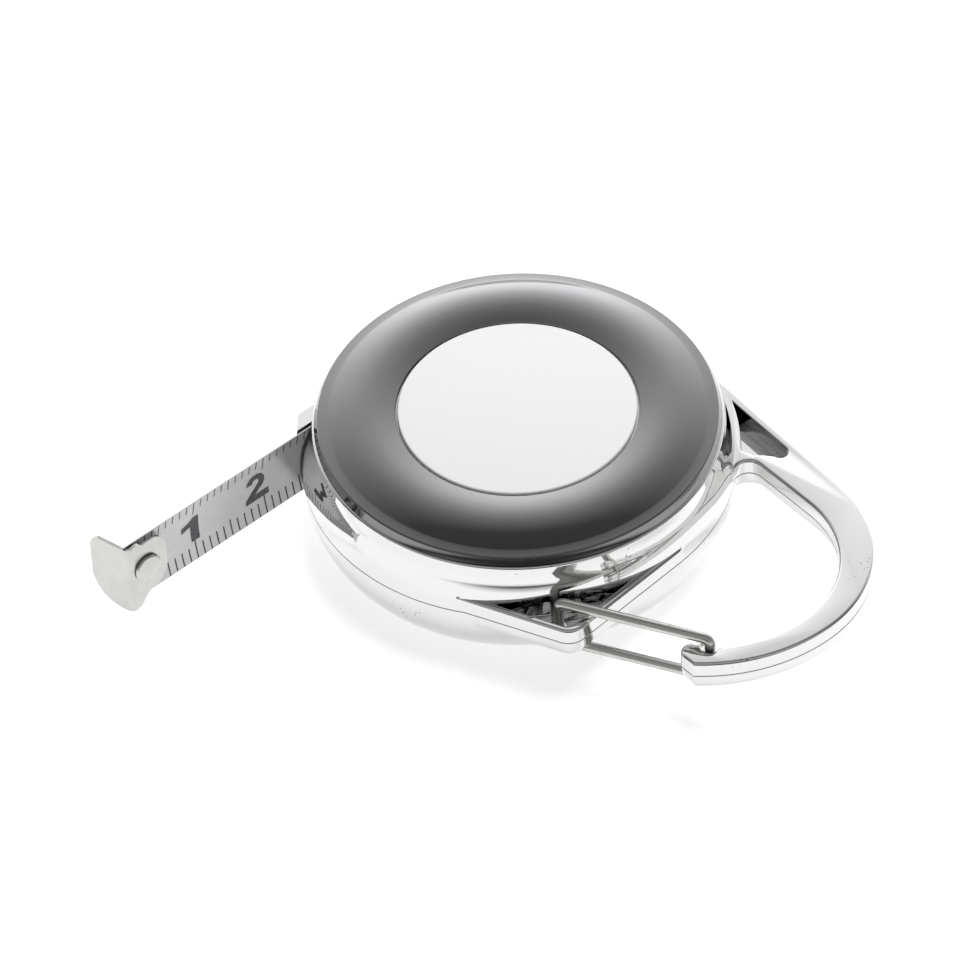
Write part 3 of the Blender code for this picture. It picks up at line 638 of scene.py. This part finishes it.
def make_upper_shell():
    bottom = SEAM_Z + SEAM_GAP / 2
    inner = [(CASE_RADIUS - WALL, bottom), (CASE_RADIUS - WALL - 0.2, 10.2),
             (CREASE_RADIUS - WALL, CREASE_Z), (RIM_RADIUS - WALL, DECK_BOTTOM), (0.0, DECK_BOTTOM)]
    shell = turned("upper_shell", upper_wall() + [(0.0, DECK_TOP)] + inner[::-1])
    rim = bottom + STEP
    levels = [(rim, 0.05), (rim + 0.05, 0.0)] + rounding(FRAME_TOP, EDGE_ROUND, 7)
    pocket_levels = [(rim - 1.0, 0.0)] + rounding(FRAME_TOP, POCKET_ROUND, 4)
    combine(shell, frame_half(levels, pocket_levels), "UNION")
    combine(shell, cylinder("deck_hole", (0.0, 0.0), DECK_HOLE_RADIUS, 12.0, 16.0, 64), "DIFFERENCE")
    for spot in screw_spots():
        combine(shell, cylinder("boss", spot, BOSS_RADIUS, bottom + 2.0 * STEP, 14.4), "UNION")
        combine(shell, cylinder("thread_bore", spot, 0.9, bottom - 1.0, 12.6), "DIFFERENCE")
    cut_mouth(shell)
    show(shell, "chrome", "case", "chrome", "upper_case")


def curved_bar(name, ends, heights, sides, steps=28):
    """A bar along the tape that follows the tape's curved section between two sideways offsets."""
    bm = bmesh.new()
    loops = []
    for along in ends:
        rows = ([], [])
        for step in range(steps + 1):
            height = heights[0] + (heights[1] - heights[0]) * step / steps
            for row, side in zip(rows, sides):
                spot = tape_point(along, tape_curve(height) + side, TAPE_CENTRE_Z + height)
                row.append(bm.verts.new(spot))
        loops.append(rows[0] + rows[1][::-1])
    for index in range(len(loops[0])):
        after = (index + 1) % len(loops[0])
        bm.faces.new((loops[0][index], loops[0][after], loops[1][after], loops[1][index]))
    bm.faces.new(loops[0])
    bm.faces.new(loops[1])
    return add_object(name, bm)


def make_mouth_lip():
    """Sleeve round the tape: a jamb flush with the case on the printed side, a proud one, and a sill."""
    reach = (12.5, 25.0)
    sill = 4.65
    lip = tape_box("mouth_lip", reach, (-0.65, 2.4), (sill, 13.9))
    way = curved_bar("way", MOUTH_SPAN, (-4.55, 5.4), (-TAPE_CLEAR, TAPE_THICKNESS + TAPE_CLEAR))
    combine(lip, way, "DIFFERENCE")
    inside = [(0.0, 3.0), (22.0, 3.0), (22.0, 15.0), (0.0, 15.0)]
    combine(lip, turned("inside", inside), "DIFFERENCE")
    outside = [(0.0, 3.0), (24.1, 3.0), (24.4, 5.2), (24.6, 7.5), (24.6, 12.5), (24.45, 13.3), (24.2, 15.0),
               (0.0, 15.0)]
    combine(lip, turned("outside", outside), "INTERSECT")
    proud = tape_box("proud", MOUTH_SPAN, (-1.0, TAPE_SAGITTA), (3.0, 15.0))
    case_side = [(0.0, 0.0)] + lower_wall(CASE_RADIUS, BASE_RADIUS, CASE_WIDEST_Z) + upper_wall()[1:]
    combine(proud, turned("case_side", case_side + [(0.0, DECK_TOP)]), "DIFFERENCE")
    combine(lip, proud, "DIFFERENCE")
    show(lip, "chrome", "case", "chrome", "mouth_guide")


# --- ring and disc ------------------------------------------------------------------------------
def make_black_ring():
    """Domed ring: a flat lip outside, a low dome, and a rebate inside over the disc's flange."""
    rebate = 14.2
    under = DECK_TOP + 0.1
    profile = [(rebate, under), (rebate, 15.9), (RING_INNER, 15.9),
               (RING_INNER, RING_INNER_Z - 0.1)]
    steps = 36
    for step in range(steps + 1):
        share = step / steps
        radius = RING_INNER + 0.05 + (DOME_FOOT - RING_INNER - 0.05) * share
        straight = RING_INNER_Z + (RING_LIP_Z - RING_INNER_Z) * share
        profile.append((radius, straight + DOME_RISE * math.sin(math.pi * share)))
    edge = RING_LIP_Z - 0.08
    profile += [(RING_LIP - 0.2, edge), (RING_LIP - 0.09, edge - 0.03), (RING_LIP - 0.02, edge - 0.1),
                (RING_LIP + 0.01, edge - 0.2), (RING_OUTER, under)]
    show(turned("black_ring", profile), "black_chrome", "case", "black_chrome", "trim_ring")


def make_disc():
    """White disc with a retaining flange and a hollow boss that presses on the reel."""
    flange = BUTTON_RADIUS + 0.65
    profile = [(0.0, 14.9), (3.5, 14.9), (3.5, 13.75), (5.2, 13.75),
               (5.2, 15.35), (flange, 15.35), (flange, 15.7), (BUTTON_RADIUS, 15.7)]
    for height, distance in rounding(BUTTON_TOP, 0.2, 6):
        profile.append((BUTTON_RADIUS - distance, height))
    profile.append((0.0, BUTTON_TOP))
    show(turned("disc", profile), "white_plastic", "button", "white_plastic", "release_button")


# --- tape ---------------------------------------------------------------------------------------
def tape_curve(height, lift=0.0):
    """Sideways place of the printed face at a height above the tape's middle, raised by a lift."""
    share = height / (TAPE_WIDTH / 2)
    return TAPE_SAGITTA * (1.0 - share * share) - lift


def make_tape_strip():
    """The straight run of curved tape, with a hole for the rivet."""
    strip = curved_bar("tape_strip", (TAPE_INNER_END, TAPE_ZERO), (-TAPE_WIDTH / 2, TAPE_WIDTH / 2),
                       (0.0, TAPE_THICKNESS))
    combine(strip, rivet_turned("rivet_hole", RIVET_HOLE), "DIFFERENCE")
    show(strip, "tape_steel", "tape", "tape_steel", "tape_blade")


def glyph_one():
    """Bold figure one, in millimetres from its lower right corner."""
    return [Vector(spot) for spot in ((-1.2, 0.0), (0.0, 0.0), (0.0, 3.6), (-0.75, 3.6), (-1.5, 3.05),
                                      (-2.45, 2.75), (-2.45, 1.95), (-1.2, 2.3))]


def glyph_two():
    """Bold figure two, in millimetres from its lower right corner."""
    bowl = Vector((-1.75, 2.6))
    outer = arc(bowl, 1.3, math.radians(178.0), math.radians(-42.0), 15)
    inner = arc(bowl, 0.5, math.radians(-45.0), math.radians(178.0), 9)
    foot = [Vector(spot) for spot in ((-1.95, 0.85), (0.0, 0.85), (0.0, 0.0), (-3.35, 0.0), (-3.25, 0.6))]
    return outer + foot + inner


def glyph_three():
    """Bold figure three, in millimetres from its lower right corner."""
    upper = Vector((-1.6, 2.65))
    lower = Vector((-1.6, 1.15))
    outer = arc(upper, 1.1, math.radians(165.0), math.radians(-45.0), 12)
    outer += arc(lower, 1.25, math.radians(40.0), math.radians(-165.0), 14)
    inner = arc(lower, 0.45, math.radians(-165.0), math.radians(75.0), 9)
    inner += arc(upper, 0.4, math.radians(-80.0), math.radians(165.0), 9)
    return outer + inner


def print_shape(bm, outline):
    """A thin raised patch of ink with this (distance from zero, height) outline, in millimetres."""
    patch = bmesh.new()
    patch.faces.new([patch.verts.new((spot.x, spot.y, 0.0)) for spot in outline])
    patch.normal_update()
    bmesh.ops.triangulate(patch, faces=patch.faces[:])
    for height in range(-8, 9):
        bmesh.ops.bisect_plane(patch, geom=patch.verts[:] + patch.edges[:] + patch.faces[:],
                               plane_co=(0.0, height * 0.5, 0.0), plane_no=(0.0, 1.0, 0.0))
    layers = []
    for lift in (INK_GAP, INK_LIFT):
        layer = {}
        for vert in patch.verts:
            height = vert.co.y
            spot = tape_point(TAPE_ZERO - vert.co.x, tape_curve(height, lift), TAPE_CENTRE_Z + height)
            layer[vert] = bm.verts.new(spot)
        for face in patch.faces:
            bm.faces.new([layer[vert] for vert in face.verts])
        layers.append(layer)
    for edge in patch.edges:
        if edge.is_boundary:
            first, second = edge.verts
            bm.faces.new((layers[0][first], layers[0][second], layers[1][second], layers[1][first]))
    patch.free()


def tick(place, start, end, width):
    """Outline of one upright mark."""
    return [Vector((place - width / 2, start)), Vector((place + width / 2, start)),
            Vector((place + width / 2, end)), Vector((place - width / 2, end))]


def make_tape_print():
    """Millimetre marks along both edges and the centimetre figures."""
    edge = TAPE_WIDTH / 2 - MARK_MARGIN
    bm = bmesh.new()
    for place in range(1, SCALE_LENGTH + 1):
        kind = 0 if place % 10 == 0 else 1 if place % 5 == 0 else 2
        if place > HIDDEN_MARKS:
            print_shape(bm, tick(place, -edge, -edge + LOWER_MARKS[kind], LOWER_MARKS[3]))
        print_shape(bm, tick(place, edge - UPPER_MARKS[kind], edge, UPPER_MARKS[3]))
    for centimetre, glyph in ((1, glyph_one), (2, glyph_two), (3, glyph_three)):
        corner = Vector((centimetre * 10.0 + 0.75, -1.85))
        print_shape(bm, [spot + corner for spot in glyph()])
    show(add_object("tape_print", bm), "ink", "tape", "tape_steel")


# --- hook and rivet -----------------------------------------------------------------------------
def rivet_turned(name, profile):
    """Turn a (radius, side) profile, in millimetres, about the rivet's axis."""
    piece = turned(name, profile, 48)
    place = Matrix.Identity(4)
    for row in range(3):
        place[row][0] = TAPE_OUT[row]
        place[row][1] = (0.0, 0.0, 1.0)[row]
        place[row][2] = TAPE_SIDE[row]
    centre = tape_point(TAPE_ZERO - RIVET_AT, 0.0, TAPE_CENTRE_Z + RIVET_RISE)
    piece.data.transform(Matrix.Translation(centre) @ place)
    return piece


def make_rivet():
    """Rivet with a flat eased head in front and a smaller one behind."""
    profile = [(0.0, -1.05), (1.45, -1.05), (1.6, -1.01), (1.69, -0.93), (1.72, -0.83), (1.7, -0.68),
               (0.75, -0.68), (0.75, 0.9), (1.3, 0.9), (1.3, 1.1), (1.1, 1.2), (0.0, 1.2)]
    show(rivet_turned("rivet", profile), "nickel", "tape", "nickel", "hook_rivet")


def hook_path(travel):
    """(along, side, angle) of the hook's middle surface at a signed travel from the start of its bend."""
    bend = HOOK_BEND
    middle = HOOK_FACE - HOOK_THICK / 2
    turn = math.pi / 2 - HOOK_SPLAY
    if travel <= 0.0:
        return TAPE_ZERO - bend + travel, middle, 0.0
    if travel < bend * turn:
        angle = travel / bend
        return TAPE_ZERO - bend + bend * math.sin(angle), middle + bend * (1.0 - math.cos(angle)), angle
    rest = travel - bend * turn
    along = TAPE_ZERO - bend + bend * math.sin(turn) + rest * math.cos(turn)
    return along, middle + bend * (1.0 - math.cos(turn)) + rest * math.sin(turn), turn


def hook_edges(travel):
    """Upper and lower edge of the hook above the tape's middle, at a travel along its bent middle."""
    if travel <= 0.0:
        place = HOOK_BEND - travel
        upper = ((0.0, 4.1), (1.3, 4.25), (1.6, 4.2), (2.1, 3.85), (4.0, 3.8), (4.6, 3.4), (5.1, 2.5),
                 (5.3, 1.6))
        lower = ((0.0, -5.4), (0.5, -5.4), (1.3, -5.15), (2.4, -3.8), (3.1, -3.5), (4.2, -3.1), (4.9, -2.2),
                 (5.3, -0.9))
    else:
        place = max(travel - 0.5 * HOOK_BEND, 0.0)
        upper = ((0.0, 4.1), (1.0, 4.15), (2.6, 4.35), (3.9, 4.5), (4.4, 4.3), (4.75, 3.6), (4.92, 2.6),
                 (5.0, 1.6))
        lower = ((0.0, -5.4), (1.2, -5.35), (2.0, -5.15), (2.9, -4.7), (3.6, -4.1), (4.3, -3.1),
                 (4.8, -1.7), (5.0, -0.5))
    return blend_at(upper, place), blend_at(lower, place)


def blend_at(points, place):
    """Height of a broken line at a distance."""
    for (start, low_height), (end, high_height) in zip(points, points[1:]):
        if start <= place <= end:
            return low_height + (high_height - low_height) * (place - start) / (end - start)
    return points[-1][1]


def make_hook():
    """Bent plate: it lies on the printed face, turns round the tape's end and splays outwards."""
    bm = bmesh.new()
    rows = 17
    stations = [HOOK_PLATE * (step / 30.0 - 1.0) for step in range(31)]
    stations += [HOOK_REACH * math.sin(math.pi / 2 * step / 36) for step in range(1, 37)]
    sheets = []
    for side in (-1.0, 1.0):
        sheet = []
        for travel in stations:
            along, across, angle = hook_path(travel)
            upper, lower = hook_edges(travel)
            out = side * HOOK_THICK / 2
            column = []
            for row in range(rows):
                height = TAPE_CENTRE_Z + lower + (upper - lower) * row / (rows - 1)
                spot = tape_point(along - out * math.sin(angle), across + out * math.cos(angle), height)
                column.append(bm.verts.new(spot))
            sheet.append(column)
        for first, second in zip(sheet, sheet[1:]):
            for row in range(rows - 1):
                bm.faces.new((first[row], first[row + 1], second[row + 1], second[row]))
        sheets.append(sheet)
    rims = []
    for sheet in sheets:
        rims.append([column[0] for column in sheet] + sheet[-1][1:-1]
                    + [column[-1] for column in sheet[::-1]] + sheet[0][-2:0:-1])
    for index in range(len(rims[0])):
        bm.faces.new((rims[0][index - 1], rims[0][index], rims[1][index], rims[1][index - 1]))
    hook = add_object("hook", bm)
    combine(hook, rivet_turned("rivet_hole", RIVET_HOLE), "DIFFERENCE")
    show(hook, "nickel", "tape", "nickel", "end_hook")


# --- gate ---------------------------------------------------------------------------------------
def bend(start, corner, end, radius, count=13):
    """Round a corner between two straight runs of wire with a true arc."""
    into = (corner - start).normalized()
    away = (end - corner).normalized()
    angle = into.angle(away)
    setback = radius * math.tan(angle / 2)
    first = corner - into * setback
    inward = (away - into * into.dot(away)).normalized()
    centre = first + inward * radius
    points = []
    for step in range(count):
        turn = angle * step / (count - 1)
        points.append(centre + radius * (into * math.sin(turn) - inward * math.cos(turn)))
    return points


def make_gate():
    """Steel wire loop: two legs, over and under the frame, turned into the pivot hole."""
    pivot = GATE_PIVOT
    tip = GATE_TIP
    stops = [Vector((pivot.x, pivot.y, 7.35)), Vector((pivot.x, pivot.y, GATE_UPPER_Z)),
             Vector((tip.x, tip.y, GATE_UPPER_Z)), Vector((tip.x, tip.y, GATE_LOWER_Z)),
             Vector((pivot.x, pivot.y, GATE_LOWER_Z)), Vector((pivot.x, pivot.y, 7.05))]
    points = [stops[0]]
    for before, corner, after in zip(stops, stops[1:], stops[2:]):
        radius = min(GATE_BEND, 0.9 * (corner - before).length, 0.9 * (after - corner).length)
        points += bend(before, corner, after, radius)
    points.append(stops[-1])
    show(tube("gate_loop", points, WIRE_RADIUS), "nickel", "gate", "nickel", "gate_wire")


# --- kept CAD nodes -----------------------------------------------------------------------------
def dress_kept_nodes():
    """The inner pieces keep their CAD shape and get a finish."""
    finishes = {"brake_ring": "rubber", "reel": "reel_plastic", "reel_cover": "reel_plastic",
                "mainspring": "spring_steel", "tape_coil": "tape_steel", "centre_post": "spring_steel",
                "reel_washer": "spring_steel", "reel_spring": "spring_steel"}
    for number in range(1, len(SCREW_ANGLES) + 1):
        finishes[f"case_screw_{number}"] = "spring_steel"
    for node, finish in finishes.items():
        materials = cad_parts[node].data.materials
        materials.clear()
        materials.append(FINISHES[finish])


# --- surroundings -------------------------------------------------------------------------------
def make_floor():
    """White table, much wider than the view, with painted shade that darkens it towards the camera's side and
    a painted glow that lifts it near the object.
    """
    half = 1.5
    bm = bmesh.new()
    corners = ((-half, -half, 0.0), (half, -half, 0.0), (half, half, 0.0), (-half, half, 0.0))
    bm.faces.new([bm.verts.new(spot) for spot in corners])
    floor = add_object("floor", bm)
    floor.location.z = -0.02 * MM
    paper = Finish("floor_paper", (0.85, 0.85, 0.85), 0.0, 0.9)
    towards = paper.nodes.new("ShaderNodeVectorMath")
    towards.operation = "DOT_PRODUCT"
    towards.inputs[1].default_value = (math.sin(CAMERA_AZIMUTH), -math.cos(CAMERA_AZIMUTH), 0.0)
    paper.links.new(paper.place, towards.inputs[0])
    # painted shade: the floor's colour darkens to near black on the camera's side, so that the chrome
    # reflects shade there
    shade = paper.remap(towards.outputs["Value"], *FLOOR_FADE, 0.0, 1.0)
    paper.tint(shade, (0.10, 0.10, 0.10))
    # painted light: the floor glows near the object, washing out its shadows, and the glow fades out towards
    # the camera
    paper.shader.inputs["Emission Color"].default_value = (1.0, 1.0, 1.0, 1.0)
    paper.links.new(paper.remap(shade, 0.0, 1.0, FLOOR_PAINTED_GLOW, 0.0), paper.shader.inputs["Emission Strength"])
    floor.data.materials.append(paper.made)


def make_sky():
    """Studio surroundings: brightest low down behind the object, dim overhead and on the camera's side."""
    world = bpy.data.worlds.new("studio")
    bpy.context.scene.world = world
    world.use_nodes = True
    nodes = world.node_tree.nodes
    links = world.node_tree.links
    place = nodes.new("ShaderNodeTexCoord")
    away = nodes.new("ShaderNodeVectorMath")
    away.operation = "DOT_PRODUCT"
    away.inputs[1].default_value = (-math.sin(CAMERA_AZIMUTH), math.cos(CAMERA_AZIMUTH), 0.0)
    spread = nodes.new("ShaderNodeMapRange")
    spread.inputs["From Min"].default_value = -1.0
    ramp = nodes.new("ShaderNodeValToRGB")
    links.new(place.outputs["Generated"], away.inputs[0])
    links.new(away.outputs["Value"], spread.inputs["Value"])
    links.new(spread.outputs["Result"], ramp.inputs["Fac"])
    links.new(ramp.outputs["Color"], nodes["Background"].inputs["Color"])
    nodes["Background"].inputs["Strength"].default_value = SKY_STRENGTH
    ramp.color_ramp.elements[0].position = SKY_STEPS[0][0]
    ramp.color_ramp.elements[1].position = SKY_STEPS[-1][0]
    for position, value in SKY_STEPS[1:-1]:
        ramp.color_ramp.elements.new(position)
    for element, (position, value) in zip(ramp.color_ramp.elements, SKY_STEPS):
        element.color = (value, value, value, 1.0)


def make_light():
    """Wide soft light above the table."""
    lamp = bpy.data.lights.new("softbox", "AREA")
    lamp.shape = "DISK"
    lamp.size = 0.5
    lamp.energy = LAMP_POWER
    made = bpy.data.objects.new("softbox", lamp)
    bpy.context.scene.collection.objects.link(made)
    made.visible_glossy = False
    made.location = (0.1, 0.2, 0.9)
    made.rotation_euler = (Vector((0.0, 0.0, 0.0)) - made.location).to_track_quat("-Z", "Y").to_euler()


def make_camera():
    """Camera at the catalogue angle."""
    azimuth = CAMERA_AZIMUTH
    elevation = CAMERA_ELEVATION
    back = Vector((math.sin(azimuth) * math.cos(elevation), -math.cos(azimuth) * math.cos(elevation),
                   math.sin(elevation)))
    right = Vector((math.cos(azimuth), math.sin(azimuth), 0.0))
    up = back.cross(right)
    across = math.cos(CAMERA_ROLL) * right - math.sin(CAMERA_ROLL) * up
    upward = math.sin(CAMERA_ROLL) * right + math.cos(CAMERA_ROLL) * up
    camera = bpy.data.cameras.new("camera")
    camera.lens = CAMERA_LENS
    camera.clip_start = 0.05
    made = bpy.data.objects.new("camera", camera)
    bpy.context.scene.collection.objects.link(made)
    place = Matrix.Identity(4)
    for row in range(3):
        place[row][0] = across[row]
        place[row][1] = upward[row]
        place[row][2] = back[row]
        place[row][3] = MM * (CAMERA_TARGET[row] + CAMERA_DISTANCE * back[row])
    made.matrix_world = place
    bpy.context.scene.camera = made


make_lower_shell()
make_upper_shell()
make_mouth_lip()
make_black_ring()
make_disc()
make_tape_strip()
make_tape_print()
make_hook()
make_rivet()
make_gate()
dress_kept_nodes()
make_floor()
make_sky()
make_light()
make_camera()
bpy.context.scene.view_settings.view_transform = "Standard"
